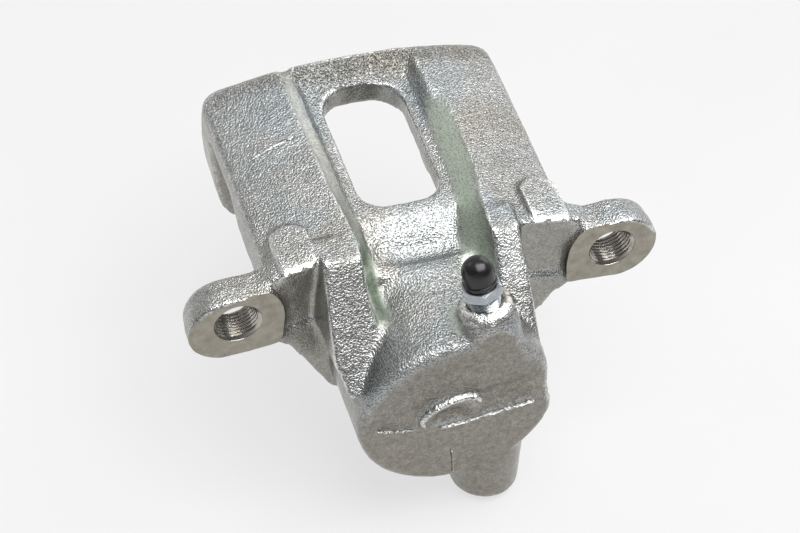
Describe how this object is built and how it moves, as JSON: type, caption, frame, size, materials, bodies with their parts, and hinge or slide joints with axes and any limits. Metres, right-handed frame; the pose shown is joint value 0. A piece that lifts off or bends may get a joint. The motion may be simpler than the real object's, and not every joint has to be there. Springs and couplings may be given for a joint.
{
  "type": "brake caliper",
  "caption": "Single-piston floating disc brake caliper: cast housing with windowed bridge, two fingers, threaded lugs, piston, seal, boot and capped bleed screw.",
  "frame": {"origin": "midway between the two guide-pin holes, on the machined faces of the lugs", "axes": "+X towards the right-hand lug, +Y along the piston's travel towards the fingers, +Z radially outward, towards the bridge's crown"},
  "size_m": [0.1455, 0.1158, 0.0998],
  "materials": {
    "zinc_plated_casting": "zinc plated as cast, machined faces satin",
    "chromed_piston": "ground and plated",
    "seal_rubber": "smooth black rubber",
    "boot_rubber": "matt black rubber",
    "spring_wire": "drawn wire",
    "zinc_plated_steel": "bright zinc plate",
    "cap_rubber": "glossy black rubber"
  },
  "bodies": {
    "housing": {"caliper_housing": "zinc_plated_casting", "piston_seal": "seal_rubber", "dust_boot": "boot_rubber", "boot_retaining_ring": "spring_wire"},
    "piston": {"piston": "chromed_piston"},
    "bleed_screw": {"bleed_screw": "zinc_plated_steel"},
    "bleed_cap": {"bleed_screw_cap": "cap_rubber"}
  },
  "joints": [
    {"name": "piston_slide", "type": "slide", "parent": "housing", "child": "piston", "axis": [0, 1, 0], "range_m": [0, 0.02], "deforming": ["dust_boot"]},
    {"name": "bleed_screw_turn", "type": "hinge", "parent": "housing", "child": "bleed_screw", "pos_m": [0.0096, -0.0214, 0.0129], "axis": [-0.186, 0.2, 0.962], "range_deg": [0, 180]},
    {"name": "bleed_cap_pull", "type": "slide", "parent": "bleed_screw", "child": "bleed_cap", "axis": [-0.186, 0.2, 0.962], "range_m": [0, 0.012]}
  ]
}
